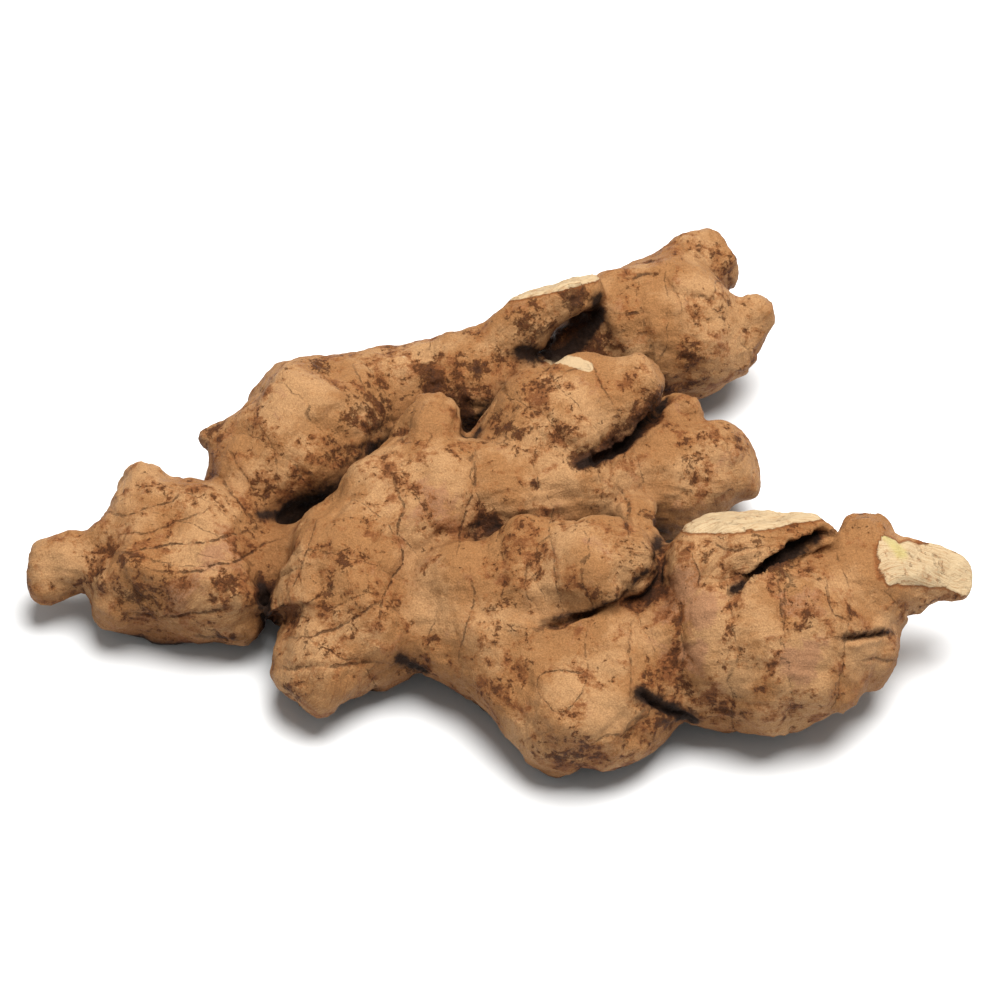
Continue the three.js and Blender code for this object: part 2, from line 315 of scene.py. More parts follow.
def growHand():
    grown = [growLimb(name, limb) for name, limb in limbs.items()]
    deselectAll()
    for piece in grown:
        piece.select_set(True)
    bpy.context.view_layer.objects.active = grown[0]
    bpy.ops.object.join()
    hand = bpy.context.object
    hand.name = "gingerHand"
    applyModifier(hand, "REMESH", {
        "mode": "VOXEL", "voxel_size": shaping["voxel"] * mm, "use_smooth_shade": True,
    })
    return hand


hand = growHand()
print("limbs grown together:", len(hand.data.vertices), "points")


# Where every point of the skin lies on its limb


def nearestOn(limb, points):
    # how far points are outside a limb, and where along and round it they lie
    spine = spineOf(limb)
    reach = spine["girth"].max() * max(limb.get("wide", 1), limb.get("tall", 1)) + 9
    low, high = spine["places"].min(0) - reach, spine["places"].max(0) + reach
    near = np.where(((points > low) & (points < high)).all(1))[0]
    away = np.full(len(points), farAway)
    at, turn, radius = np.zeros(len(points)), np.zeros(len(points)), np.ones(len(points))
    if not len(near):
        return away, at, turn, radius
    some = points[near]
    marks = np.linspace(0, spine["length"], max(2, round(spine["length"] / 2)))
    centres = alongSpine(spine, marks)[0]
    best = np.full(len(near), 1e9)
    which = np.zeros(len(near), int)
    for i, centre in enumerate(centres):
        distance = ((some - centre) ** 2).sum(1)
        closer = distance < best
        best[closer] = distance[closer]
        which[closer] = i
    place = marks[which]
    for _ in range(2):
        centre, along, across, over, girth = alongSpine(spine, place)
        place = np.clip(place + ((some - centre) * along).sum(1), 0, spine["length"])
    centre, along, across, over, girth = alongSpine(spine, place)
    local = some - centre
    u = (local * across).sum(1) / limb.get("wide", 1)
    v = (local * over).sum(1) / limb.get("tall", 1)
    w = (local * along).sum(1)
    rootDome, tipDome = domesOf(limb)
    dome = np.where(w > 0, tipDome, rootDome)
    away[near] = np.sqrt(u**2 + v**2 + (w * girth / dome) ** 2) - girth
    at[near] = place + w
    turn[near] = np.arctan2(u, v)
    radius[near] = girth
    return away, at, turn, radius


def placesOf(points):
    # the limb that each point belongs to, the next nearest, and its place on the first
    count = len(points)
    first, second = np.full(count, farAway), np.full(count, farAway)
    owner, other = np.zeros(count, int), np.zeros(count, int)
    keep = {key: np.zeros(count) for key in ("at", "turn", "radius", "otherAt")}
    for index, limb in enumerate(limbs.values()):
        away, at, turn, radius = nearestOn(limb, points)
        wins = away < first
        runsUp = ~wins & (away < second)
        second[wins], other[wins], keep["otherAt"][wins] = first[wins], owner[wins], keep["at"][wins]
        first[wins], owner[wins] = away[wins], index
        keep["at"][wins], keep["turn"][wins], keep["radius"][wins] = at[wins], turn[wins], radius[wins]
        second[runsUp], other[runsUp], keep["otherAt"][runsUp] = away[runsUp], index, at[runsUp]
    return dict(gap=second - first, owner=owner, other=other, **keep)


def smoothstep(low, high, value):
    t = np.clip((value - low) / (high - low), 0, 1)
    return t * t * (3 - 2 * t)


def corners(f):
    # the eight corners of a cell, each with its share of what lies at f inside it
    for corner in np.ndindex(2, 2, 2):
        yield corner, np.where(corner, f, 1 - f).prod(1)


def scramble(cell, seed):
    # a number between 0 and 1 for each cell
    key = np.bitwise_xor.reduce(cell * np.array([73856093, 19349663, 83492791]), axis=1)
    key = (key ^ (seed * 2654435761)) & 0xFFFFFFFF
    key = ((key ^ (key >> 15)) * 2246822519) & 0xFFFFFFFF
    key = ((key ^ (key >> 13)) * 3266489917) & 0xFFFFFFFF
    return ((key ^ (key >> 16)) & 0xFFFFFF) / 0xFFFFFF


def latticeNoise(points, size, seed):
    # smooth random heights between 0 and 1, one bump to each size
    place = points / size + seed * 7.31
    cell = np.floor(place).astype(np.int64)
    f = place - cell
    f = f * f * f * (f * (f * 6 - 15) + 10)
    return sum(share * scramble(cell + corner, seed) for corner, share in corners(f))


def layeredNoise(points, size, seed, layers):
    # noise of several sizes, about -1 to 1
    total, strength, most = 0, 1.0, 0.0
    for layer in range(layers):
        total = total + strength * (latticeNoise(points, size / 2**layer, seed + layer) * 2 - 1)
        most += strength
        strength *= 0.5
    return total / most * 1.6


def relax(points, edges, weight, rounds):
    a, b = edges[:, 0], edges[:, 1]
    count = len(points)
    degree = np.bincount(a, minlength=count) + np.bincount(b, minlength=count)
    for _ in range(rounds):
        total = np.stack(
            [np.bincount(a, points[b, i], count) + np.bincount(b, points[a, i], count) for i in range(3)], 1
        )
        points = points + 0.6 * weight[:, None] * (total / degree[:, None] - points)
    return points


def rootedness(index, at):
    # 1 where a limb is grown together with what carries it, 0 where it only lies against it
    reach = np.array([limb.get("roots", 9) for limb in limbs.values()], float)[index]
    return np.where(reach > 0, 1 - smoothstep(reach, reach * 1.7 + 1, at), 0)


points = pointsOf(hand.data)
edges = read(hand.data.edges, "vertices", 2, np.int32)
places = placesOf(points)
together = rootedness(places["owner"], places["at"])
together = np.maximum(together, rootedness(places["other"], places["otherAt"]))
fork = np.exp(-((places["gap"] / shaping["filletWidth"]) ** 2))
weight = np.clip(fork * (shaping["filletLeast"] + together), 0, 1)
points = relax(points, edges, weight, shaping["filletRounds"])
points = relax(points, edges, np.full(len(points), 0.5), 1)
movePoints(hand.data, points)
print("forks smoothed")


# Marks that are placed by where they are seen. Each is given by pixels of the picture, and a
# line of sight through them finds the place on the skin.

# darkness is the crack's own colour on thin cracks; on the deep folds under and between limbs it is painted
# shade
cracks = {  # [points], half width mm, depth mm, darkness
    "heelTop": ([(107, 512), (129, 516), (150, 507), (171, 500), (185, 494)], 0.2, 0.5, 0.8),
    "heelUpper": ([
        (110, 536), (129, 533), (150, 532), (161, 527), (182, 519), (204, 511), (217, 502),
    ], 0.15, 0.35, 0.6),
    "heelMiddle": ([
        (107, 552), (126, 552), (145, 548), (166, 544), (188, 543), (212, 538), (228, 534), (246, 531),
        (257, 528),
    ], 0.25, 0.6, 1),
    "heelLower": ([
        (150, 569), (171, 571), (198, 571), (212, 565), (228, 563), (238, 559), (254, 550), (268, 542),
        (279, 539),
    ], 0.22, 0.6, 1),
    "heelLedge": ([(120, 612), (150, 618), (174, 617), (193, 613), (212, 610), (232, 606)], 0.3, 1, 0.9),
    "heelSeam": ([(213, 472), (230, 486), (241, 502), (254, 516), (268, 520)], 0.3, 0.7, 0.8),
    "shoulderLeft": ([(228, 449), (235, 462), (244, 475), (255, 488)], 0.2, 0.4, 0.7),
    "shoulderRing": ([(254, 408), (264, 433), (273, 451), (279, 486)], 0.12, 0.25, 0.5),
    "shoulderNeck": ([(353, 363), (364, 388), (373, 404), (384, 424)], 0.18, 0.5, 0.7),
    "forkLeft": ([(318, 524), (313, 534), (303, 561), (292, 585), (284, 600)], 0.16, 0.4, 0.7),
    "middleFirst": ([(277, 627), (295, 611), (313, 601), (322, 588)], 0.16, 0.35, 0.6),
    "middleSecond": ([
        (280, 640), (305, 636), (321, 630), (338, 625), (354, 619), (372, 606), (382, 600),
    ], 0.24, 0.5, 0.9),
    "middleLedge": ([(274, 668), (300, 668), (329, 666), (359, 665), (388, 664)], 0.26, 0.9, 0.8),
    "middleRing": ([
        (389, 468), (397, 488), (404, 509), (399, 528), (402, 555), (396, 574), (386, 590), (380, 611),
        (380, 630),
    ], 0.22, 0.5, 0.9),
    "middleNext": ([(476, 452), (475, 482), (471, 500), (462, 527), (458, 551)], 0.2, 0.5, 0.8),
    "thumbCrack": ([(422, 432), (432, 434), (429, 443)], 0.14, 0.3, 0.5),
    "frontRing": ([(470, 572), (473, 594), (468, 619), (462, 643), (458, 664)], 0.16, 0.4, 0.7),
    "fingerFirst": ([(525, 560), (523, 586), (527, 600), (541, 611)], 0.14, 0.35, 0.55),
    "fingerSecond": ([(549, 532), (553, 551), (553, 572), (558, 590), (562, 607)], 0.14, 0.35, 0.55),
    "fingerUnder": ([
        (537, 627), (558, 624), (570, 620), (592, 612), (611, 604), (630, 592),
    ], 0.55, 2.2, 1.3),
    "sheathSlit": ([(619, 488), (628, 497), (627, 513), (628, 532)], 0.4, 1.2, 1.1),
    "frontSecond": ([(588, 631), (585, 655), (587, 676), (582, 692)], 0.12, 0.3, 0.5),
    "frontThird": ([(633, 623), (630, 653), (631, 674), (630, 696)], 0.2, 0.6, 0.6),
    "footCrease": ([(636, 692), (645, 697), (664, 707), (676, 713), (700, 722)], 0.4, 1.6, 1.1),
    "endRing": ([(778, 575), (780, 597), (781, 619), (787, 633)], 0.18, 0.4, 0.8),
    "rightRing": ([(826, 585), (832, 611), (845, 619), (856, 625)], 0.2, 0.4, 0.8),
    "rightCrease": ([(836, 638), (852, 639), (868, 636), (882, 633), (896, 634)], 0.34, 1.5, 1.1),
    "rightNotch": ([(862, 661), (878, 659), (896, 660)], 0.22, 0.9, 0.7),
    "eyeTop": ([(536, 690), (539, 675), (552, 670), (566, 670), (580, 674), (586, 679)], 0.14, 0.5, 0.8),
    "eyeLow": ([(586, 679), (581, 694), (571, 707), (556, 711), (543, 701), (536, 690)], 0.12, 0.4, 0.6),
    "flap": ([(519, 741), (539, 735), (556, 729)], 0.1, 0.35, 0.45),
    "shootUnder": ([(731, 593), (750, 579), (772, 563), (796, 546), (820, 535), (838, 531)], 1, 4, 1.5),
    "shootFirst": ([(694, 560), (700, 575), (697, 590)], 0.16, 0.4, 0.8),
    "shootSecond": ([(706, 541), (734, 550), (757, 546)], 0.2, 0.5, 0.8),
    "stubFirst": ([(592, 358), (601, 383), (613, 404)], 0.16, 0.4, 0.6),
    "stubSecond": ([(556, 372), (570, 369), (586, 367)], 0.18, 0.4, 0.6),
    "stubUnder": ([(667, 391), (650, 420), (628, 440), (603, 457), (578, 468)], 0.9, 3, 1.4),
    "endFirst": ([(625, 491), (629, 506), (627, 518)], 0.18, 0.4, 0.7),
    "backFirst": ([(629, 276), (641, 275), (652, 274)], 0.35, 0.4, 1),
    "backSecond": ([(621, 314), (633, 315), (646, 313)], 0.3, 0.4, 1),
    "backArc": ([(666, 277), (676, 291), (682, 306), (682, 324)], 0.12, 0.3, 0.4),
    "backNotch": ([(706, 300), (697, 296), (690, 300)], 0.3, 0.5, 0.7),
}

# Patches: middle x, y in pixels or a line of such points, radius mm, strength
patches = {
    "soil": {
        "heelLeft": (132, 600, 5.5, 1), "heelMiddle": (125, 562, 4, 0.7),
        "heelKnob": (140, 486, 4, 0.45), "heelRight": (230, 583, 4, 0.5),
        "heelCorner": (224, 640, 4, 0.9), "heelFoot": (200, 628, 3, 0.6), "ear": (58, 572, 6, 0.1),
        "earNeck": (96, 575, 3, 0.8), "heelSeam": (268, 595, 4.5, 1.3),
        "shoulderBand": (378, 408, 6, 1.1), "shoulderSpot": (348, 420, 3.5, 0.9),
        "shoulderTop": (320, 368, 2.5, 0.9), "shoulderLow": (355, 450, 5, 0.7),
        "shoulderFoot": (262, 500, 6, 0.55), "shoulderFlake": (214, 430, 3.5, 0.8),
        "neckTop": (430, 352, 2.5, 0.7), "neckMiddle": (430, 378, 3, 0.8),
        "neckSpot": (478, 370, 2.2, 1.2), "neckLow": (470, 402, 6, 0.7), "neckRight": (505, 425, 6, 0.8),
        "stubSide": (530, 322, 6, 1), "hollow": (552, 348, 7, 1.6), "hollowTop": (576, 296, 3.5, 1.6),
        "hollowRight": (585, 325, 5, 1.1), "backLeft": (604, 340, 5, 0.7),
        "backSpot": (691, 352, 2.6, 1.2), "backMiddle": (700, 325, 6, 0.2),
        "backKnob": (735, 325, 4, 0.3), "backTop": (716, 250, 5, 0.25), "backLow": (682, 380, 5, 0.3),
        "backDash": (645, 262, 2.5, 0.7), "stubFoot": (560, 425, 4, 0.6),
        "stubEdge": ([(664, 392), (646, 414), (622, 434), (598, 450), (578, 464)], 2.6, 1.7),
        "scales": (688, 388, 4, 0.6), "middleSpots": (492, 522, 4, 0.5),
        "middleSpot": (505, 500, 1.2, 1.3), "middleDot": (535, 485, 1.1, 1.3),
        "middleRoot": (350, 560, 5, 0.5), "middleSide": (330, 592, 4, 0.5),
        "middleFoot": (290, 690, 3, 0.6), "underMiddle": (420, 668, 4, 0.9),
        "endRust": (698, 450, 4, 0.2), "endLow": (690, 492, 5, 0.2), "endTip": (738, 440, 2, 0.7),
        "endFoot": (655, 522, 4, 0.9), "frontSpot": (435, 637, 1.6, 0.8), "fingerTip": (632, 560, 4, 0.7),
        "fingerLow": (600, 590, 4, 0.5), "footEdge": (560, 760, 5, 0.7), "footRight": (662, 725, 5, 0.9),
        "footTop": (504, 630, 2, 0.7), "shootUnder": (770, 568, 5, 1.3), "shootSide": (760, 545, 4, 0.5),
        "endUnder": (722, 712, 4, 0.4), "rightTop": (860, 525, 3, 0.4),
    },
    "rust": {
        "middle": (530, 520, 5, 1), "middleLow": (545, 505, 3.5, 0.8), "footLeft": (492, 690, 5, 0.9),
        "footRing": (520, 662, 4, 0.7), "front": (400, 610, 4, 0.7), "end": (705, 455, 6, 0.7),
        "stubLeft": (545, 385, 4, 0.8), "stubRight": (630, 400, 4, 0.6), "neck": (455, 385, 5, 0.8),
        "neckRight": (500, 350, 5, 0.6), "shoulder": (270, 405, 6, 0.5),
        "shoulderRight": (330, 440, 5, 0.7), "backLeft": (590, 300, 6, 0.4),
        "backKnob": (760, 330, 4, 0.4), "shoot": (650, 590, 4, 0.9), "right": (930, 590, 5, 0.4),
        "bandOne": ([(737, 596), (731, 630), (724, 660), (712, 702)], 1.4, 0.9),
        "bandTwo": ([(806, 618), (792, 640), (778, 664), (760, 692)], 1.6, 1.1),
        "bandThree": ([(679, 612), (676, 640), (669, 668)], 1.3, 1.3), "patchFour": (648, 674, 2.4, 1.3),
        "bandFour": ([(852, 612), (850, 640), (842, 668)], 1.2, 1), "patchSix": (830, 602, 1.8, 1),
        "shootSide": (720, 575, 4, 0.8), "heel": (170, 572, 3.5, 0.8), "heelTop": (205, 495, 4, 0.6),
        "middleRoot": (370, 520, 5, 0.6), "foot": (690, 715, 4, 0.8),
    },
    "pale": {
        "shoulder": (300, 405, 8, 1), "shoulderTop": (360, 370, 3.5, 0.6), "front": (440, 605, 8, 0.9),
        "foot": (610, 715, 7, 0.7), "finger": (585, 545, 5, 0.8), "fingerMiddle": (540, 590, 4, 0.7),
        "end": (700, 640, 5, 1), "endRight": (805, 660, 6, 1.1), "endTop": (660, 640, 3.5, 0.8),
        "middle": (560, 495, 6, 0.9), "middleLeft": (440, 475, 6, 0.7), "stub": (590, 400, 4, 0.8),
        "back": (670, 310, 5, 0.7), "backLow": (665, 350, 4, 0.8), "neck": (425, 350, 4, 0.7),
        "heel": (200, 552, 6, 0.9), "heelUpper": (195, 525, 5, 0.7), "right": (860, 570, 5, 0.7),
        "endMiddle": (665, 500, 5, 0.7), "endHigh": (725, 460, 4, 0.6), "backHigh": (700, 270, 6, 0.7),
        "backRight": (735, 345, 5, 0.5), "ear": (60, 565, 6, 0.7), "endOuter": (850, 650, 5, 0.6),
        "endLeft": (700, 612, 5, 0.9), "endLower": (735, 685, 5, 0.8), "endUpper": (765, 620, 4, 0.8),
        "eye": (562, 690, 4, 1), "middleFoot": (330, 690, 6, 0.4),
    },
    "rosy": {
        "shoot": (682, 588, 3.6, 1.4), "shootLow": (668, 610, 3, 0.8), "end": (690, 655, 4, 1.1),
        "endTop": (700, 612, 4, 0.8), "endRight": (800, 662, 5, 0.9), "heel": (225, 552, 5, 0.7),
        "middle": (430, 500, 6, 0.6), "right": (800, 600, 5, 0.6), "heelFront": (180, 595, 5, 0.6),
    },
    # painted shade with soil: near-black brown drawn along the gaps between limbs and under them, where
    # shade falls
    "grime": {
        "shoulderUnder": ([(262, 512), (280, 515), (298, 516)], 1.6, 1),
        "hollow": ([(522, 352), (548, 357), (576, 345), (594, 322), (600, 300)], 2.5, 1.15),
        "thumb": ([(463, 438), (472, 440), (480, 432)], 1.8, 0.9),
        "finger": ([(545, 621), (580, 612), (620, 595), (645, 570)], 1.5, 0.8),
        "stub": ([(580, 466), (610, 455), (640, 430), (662, 400)], 1.7, 1.1),
        "shoot": ([(735, 590), (775, 563), (815, 540)], 1.7, 1.1),
        "foot": ([(640, 694), (665, 706), (692, 722)], 2.3, 1.1),
        "middleUnder": ([(396, 656), (424, 670)], 2, 1),
        "heelRight": ([(262, 590), (266, 615), (260, 638)], 2.4, 1.1),
        "heelFoot": ([(200, 636), (235, 640)], 1.5, 0.7), "ear": ([(95, 558), (95, 592)], 1.2, 0.5),
        "right": ([(845, 636), (892, 632)], 1.3, 0.8), "shootFoot": ([(652, 555), (662, 532)], 2, 0.9),
    },
    "fibrous": {
        "heel": (170, 592, 7, 0.9), "heelRight": (225, 598, 6, 0.8), "heelMiddle": (200, 555, 5, 0.4),
        "middleFoot": (320, 692, 8, 0.9), "middleLeft": (295, 655, 5, 0.5),
        "shootSide": (735, 560, 6, 1), "shootTip": (790, 545, 6, 1), "sheath": (640, 545, 6, 0.9),
        "sheathTop": (628, 515, 4, 0.8), "right": (920, 605, 5, 0.7), "stubSide": (520, 320, 5, 0.5),
        "endTip": (740, 450, 4, 0.5),
    },
    "peeled": {
        "stub": ([(549, 365), (562, 361), (576, 361), (587, 364)], 1.7, 1.1),
        "neck": (405, 355, 2, 0.5),
    },
    "green": {"rightCut": ([(884, 533), (893, 542), (900, 552)], 2.2, 1)},
}


marking = {
    "crackSteps": 8,  # lines of sight for each point of a crack
    "patchSteps": 6,  # and of a patch
    "reach": 6,  # mm beyond a crack's box in which points are looked at
    "leap": 4,  # mm between two sights beyond which the crack has left the surface
}


def sight(tree, x, y):
    # where the line of sight through a pixel meets the hand
    place, back, up = cameraPlace()
    scale = camera["sensor"] / camera["lens"] / camera["picture"]
    half = camera["picture"] / 2
    way = -back + np.array([1.0, 0, 0]) * (x - half) * scale + up * (half - y) * scale
    hit, normal, _, _ = tree.ray_cast(Vector(place * mm), Vector(way).normalized())
    if hit is None:
        return None, None
    return np.array(hit) / mm - middleOfHand, np.array(normal)


def fineLine(pixels, steps):
    return catmull(np.array(pixels, float), np.linspace(0, 1, steps * len(pixels)), True)


def crackMarks(tree, points):
    # signed distance to the nearest crack, and its width, depth and darkness where one is near
    away = np.full(len(points), farAway)
    side, depth, dark = (np.zeros(len(points)) for _ in range(3))
    width = np.full(len(points), 0.2)
    for pixels, halfWidth, deep, darkness in cracks.values():
        hits = [sight(tree, x, y) for x, y in fineLine(pixels, marking["crackSteps"])]
        hits = [(place, normal) for place, normal in hits if place is not None]
        line = np.array([place for place, _ in hits])
        reach = np.ptp(line, axis=0) / 2 + marking["reach"]
        near = np.where((np.abs(points - line.mean(0)) < reach).all(1))[0]
        some = points[near]
        total = len(line) - 1
        for i in range(total):
            a, b = line[i], line[i + 1]
            run = b - a
            length = np.linalg.norm(run)
            if length < 0.01 or length > marking["leap"]:
                continue
            t = np.clip(((some - a) @ run) / length**2, 0, 1)
            offset = some - (a + t[:, None] * run)
            distance = np.linalg.norm(offset, axis=1)
            closer = distance < away[near]
            chosen = near[closer]
            way = np.cross(run / length, hits[i][1])
            end = min(1.0, 4 * (i + 1) / total, 4 * (total - i) / total)  # cracks fade out
            away[chosen] = distance[closer]
            side[chosen] = np.sign(offset[closer] @ way + 1e-9)
            width[chosen], depth[chosen], dark[chosen] = halfWidth, deep * end, darkness * (0.4 + 0.6 * end)
    return away, side, width, depth, dark


def patchMask(tree, points, kind):
    mask = np.zeros(len(points))
    for *where, radius, strength in patches[kind].values():
        for x, y in fineLine(where[0], marking["patchSteps"]) if len(where) == 1 else [where]:
            place, _ = sight(tree, x, y)
            if place is None:
                continue
            distance = np.linalg.norm(points - place, axis=1) / radius
            mask = np.maximum(mask, strength * np.exp(-(distance**2)))
    return mask


seen = BVHTree.FromObject(hand, bpy.context.evaluated_depsgraph_get())
crackAway, crackSide, crackWidth, crackDepth, crackDark = crackMarks(seen, points)
patchMasks = {kind: patchMask(seen, points, kind) for kind in patches}
print("marks placed")


# Leaf scars, wrinkles and lumps

relief = {
    "scarDip": 0.5,  # how far a limb narrows at a scar
    "dipWidth": 2.6,
    "scarLip": 0.45,  # height of the torn edge of the old leaf
    "lipWidth": 1.5,
    "scarStep": 0.28,  # depth of the groove
    "stepWidth": 0.5,
    "scarTilt": 0.7,
    "scarShare": 0.8,  # of all three, that is left in the mesh
    # heights and sizes of what is uneven, mm
    "scarWander": (1.5, 9),
    "scarRagged": (0.5, 2.5),
    "lipFrayed": (0.45, 4),
    "lumps": (0.9, 13),
    "knots": (0.4, 4.5),
    "wrinkles": (0.24, 1.6),
    "flakes": (0.10, 1.5),
    "crust": (0.45, 1.8),
    "crackWaver": (0.45, 2.6),
    "deepCrack": 1.3,  # a crack this deep is a fold, and has most of its depth in the mesh
    "deepShare": 0.9,
    "thinShare": 0.32,
    "crackEdge": (0.3, 1.0, 0.6),  # height, distance and width of the lip beside a crack
    "boxBend": 2.4,  # mm over which skin bends along a side of the solid's box
}


def uneven(what, where, seed, layers):
    height, size = relief[what]
    return height * layeredNoise(where, size, seed, layers)


def scarOffsets(places, points):
    # signed distance along the limb to the nearest scar
    wander = uneven("scarWander", points, 3, 3) + uneven("scarRagged", points, 5, 2)
    at = places["at"] + wander + relief["scarTilt"] * np.sin(2 * places["turn"] + places["at"])
    offset = np.full(len(points), farAway)
    for index, limb in enumerate(limbs.values()):
        mine = places["owner"] == index
        for scar in limb.get("scars", []):
            away = at - scar
            closer = mine & (np.abs(away) < np.abs(offset))
            offset[closer] = away[closer]
    return offset


places = placesOf(points)
offset = scarOffsets(places, points)
normals = read(hand.data.vertices, "normal", 3)
ringed = smoothstep(0.3, 2.5, places["gap"])
frayed = 0.55 + uneven("lipFrayed", points, 8, 3)
height = -relief["scarDip"] * np.exp(-((offset / relief["dipWidth"]) ** 2))
height += relief["scarLip"] * frayed * np.where(offset < 0, np.exp(offset / relief["lipWidth"]), 0)
height -= relief["scarStep"] * (0.5 + 0.5 * frayed) * np.exp(-(((offset - 0.2) / relief["stepWidth"]) ** 2))
height *= ringed * relief["scarShare"]
waver = uneven("crackWaver", points, 51, 3)
crackPlace = crackAway * crackSide + waver * (0.6 + 0.9 * crackWidth)
deepShare = np.where(crackDepth > relief["deepCrack"], relief["deepShare"], relief["thinShare"])
deepening = deepShare * crackDepth
height -= deepening * np.exp(-((crackPlace / (crackWidth + 0.3)) ** 2))
lipHeight, lipAway, lipWidth = relief["crackEdge"]
height += lipHeight * deepening * np.exp(-(((np.abs(crackPlace) - crackWidth - lipAway) / lipWidth) ** 2))
height += patchMasks["soil"] * uneven("crust", points, 61, 3) + uneven("flakes", points, 71, 2)
height += uneven("lumps", points, 21, 2) + uneven("knots", points, 31, 3)
grain = np.stack([places["at"] / 5, places["turn"] * places["radius"], places["owner"] * 9.0], 1)
height += uneven("wrinkles", grain, 41, 2) * ringed
points = points + normals * height[:, None]
print("skin shaped")


# Pressed flat on the table, and held inside the solid's box

boxLow = np.array(cadBox[0]) / mm - middleOfHand + 0.02
boxHigh = np.array(cadBox[1]) / mm - middleOfHand - 0.02
boxLow[2] = 0.0


def settle(points):
    # skin near a side of the box bends along it
    bend = relief["boxBend"]
    middle, half = (boxLow + boxHigh) / 2, (boxHigh - boxLow) / 2
    beyond = np.abs(points - middle) - (half - bend)
    bent = middle + np.sign(points - middle) * (half - bend + bend * np.tanh(beyond / bend))
    free = (beyond < 0) | ((points < middle) & (np.arange(3) == 2))
    return np.clip(np.where(free, points, bent), boxLow, boxHigh)


points = settle(points)
movePoints(hand.data, points)


# What the skin's material reads from its points


def blurred(grid, radius):
    for axis in range(3):
        for _ in range(2):
            before = np.repeat(grid.take([0], axis), radius + 1, axis)
            after = np.repeat(grid.take([-1], axis), radius, axis)
            padded = np.concatenate([before, grid, after], axis)
            run = np.cumsum(padded, axis=axis)
            size = 2 * radius + 1
            length = grid.shape[axis]
            grid = (run.take(range(size, size + length), axis) - run.take(range(0, length), axis)) / size
    return grid


def sampleGrid(grid, places):
    cell = np.clip(np.floor(places).astype(int), 0, np.array(grid.shape) - 2)
    f = np.clip(places - cell, 0, 1)
    return sum(share * grid[tuple((cell + corner).T)] for corner, share in corners(f))


def shelterOf(points, normals):
    # how much of the room just outside each point is filled by the hand, near and far
    pitch, margin = 1.6, 16
    low, high = points.min(0) - margin, points.max(0) + margin
    shape = np.ceil((high - low) / pitch).astype(int)
    index = np.indices(shape).reshape(3, -1).T
    cells = low + (index + 0.5) * pitch
    filled = np.zeros(len(cells))
    for limb in limbs.values():
        filled[nearestOn(limb, cells)[0] < 0] = 1
    filled[cells[:, 2] < 0] = 1
    grid = filled.reshape(shape)
    result = []
    for radius, stand in ((1, 1.8), (4, 4.5)):  # cells that are averaged, and mm from the skin
        where = (points + normals * stand - low) / pitch - 0.5
        result.append(sampleGrid(blurred(grid, radius), where))
    return result


normals = read(hand.data.vertices, "normal", 3)
near, far = shelterOf(points, normals)
print("shelter is", near.mean().round(2), "near and", far.mean().round(2), "far on average")


def cutMask(points, places):
    mask = np.zeros(len(points))
    for index, limb in enumerate(limbs.values()):
        cut = limb.get("cut")
        if not cut:
            continue
        facing = np.array(cut["facing"]) / np.linalg.norm(cut["facing"])
        below = -(points - np.array(cut["at"])) @ facing
        mine = (places["owner"] == index) & (normals @ facing > 0.3)
        mask = np.maximum(mask, mine * (1 - smoothstep(0.7, 1.6, below)))
    return mask


fields = {
    "alongLimb": places["at"],
    "roundLimb": places["turn"] * places["radius"],
    "scarOffset": np.clip(offset, -6, 6),
    "scarNear": (1 - smoothstep(1.4, 2.1, np.abs(offset))) * ringed,
    "scarZone": np.exp(-((offset / 3.5) ** 2)),
    "shelterNear": near,
    "shelterFar": far,
    "cutFace": cutMask(points, places),
    "crackOffset": np.clip(crackPlace, -4, 4),
    "crackWidth": crackWidth,
    "crackDark": crackDark * (1 - smoothstep(1.0, 2.2, crackAway)),
}
fields.update({kind + "Patch": mask for kind, mask in patchMasks.items()})
for name, values in fields.items():
    attribute = hand.data.attributes.new(name, "FLOAT", "POINT")
    attribute.data.foreach_set("value", np.ascontiguousarray(values, dtype=np.float32))


def trianglesOf(mesh):
    return sum(len(face.vertices) - 2 for face in mesh.polygons)


def thinOut():
    # the underside is thinned first
    hidden = np.clip(-normals[:, 2] * 1.2, 0, 1)
    group = hand.vertex_groups.new(name="thinned")
    steps, least = 4, 0.25
    level = np.rint(hidden * steps).astype(int)
    for step in range(steps + 1):
        chosen = np.where(level == step)[0].tolist()
        if chosen:
            group.add(chosen, least + (1 - least) * step / steps, "REPLACE")
    triangles = trianglesOf(hand.data)
    applyModifier(hand, "DECIMATE", {
        "decimate_type": "COLLAPSE", "ratio": shaping["faces"] / triangles, "vertex_group": "thinned",
        "vertex_group_factor": 1.0,
    })
    print("thinned from", triangles, "to", trianglesOf(hand.data))
    hand.vertex_groups.clear()
    movePoints(hand.data, np.clip(pointsOf(hand.data), boxLow, boxHigh))


thinOut()
deselectAll()
hand.select_set(True)
bpy.context.view_layer.objects.active = hand
bpy.ops.object.shade_smooth()


# Materials


class Wire:
    # an output socket that can be used in sums
    def __init__(self, bench, socket):
        self.bench, self.socket = bench, socket

    def maths(self, operation, *values):
        sockets = dict(enumerate(values))
        return self.bench.node("ShaderNodeMath", {"operation": operation}, sockets)

    def __add__(self, other):
        return self.maths("ADD", self, other)

    __radd__ = __add__

    def __sub__(self, other):
        return self.maths("SUBTRACT", self, other)

    def __rsub__(self, other):
        return self.maths("SUBTRACT", other, self)

    def __mul__(self, other):
        return self.maths("MULTIPLY", self, other)

    __rmul__ = __mul__

    def __truediv__(self, other):
        return self.maths("DIVIDE", self, other)

    def __abs__(self):
        return self.maths("ABSOLUTE", self)

    def least(self, other):
        return self.maths("MINIMUM", self, other)

    def most(self, other):
        return self.maths("MAXIMUM", self, other)


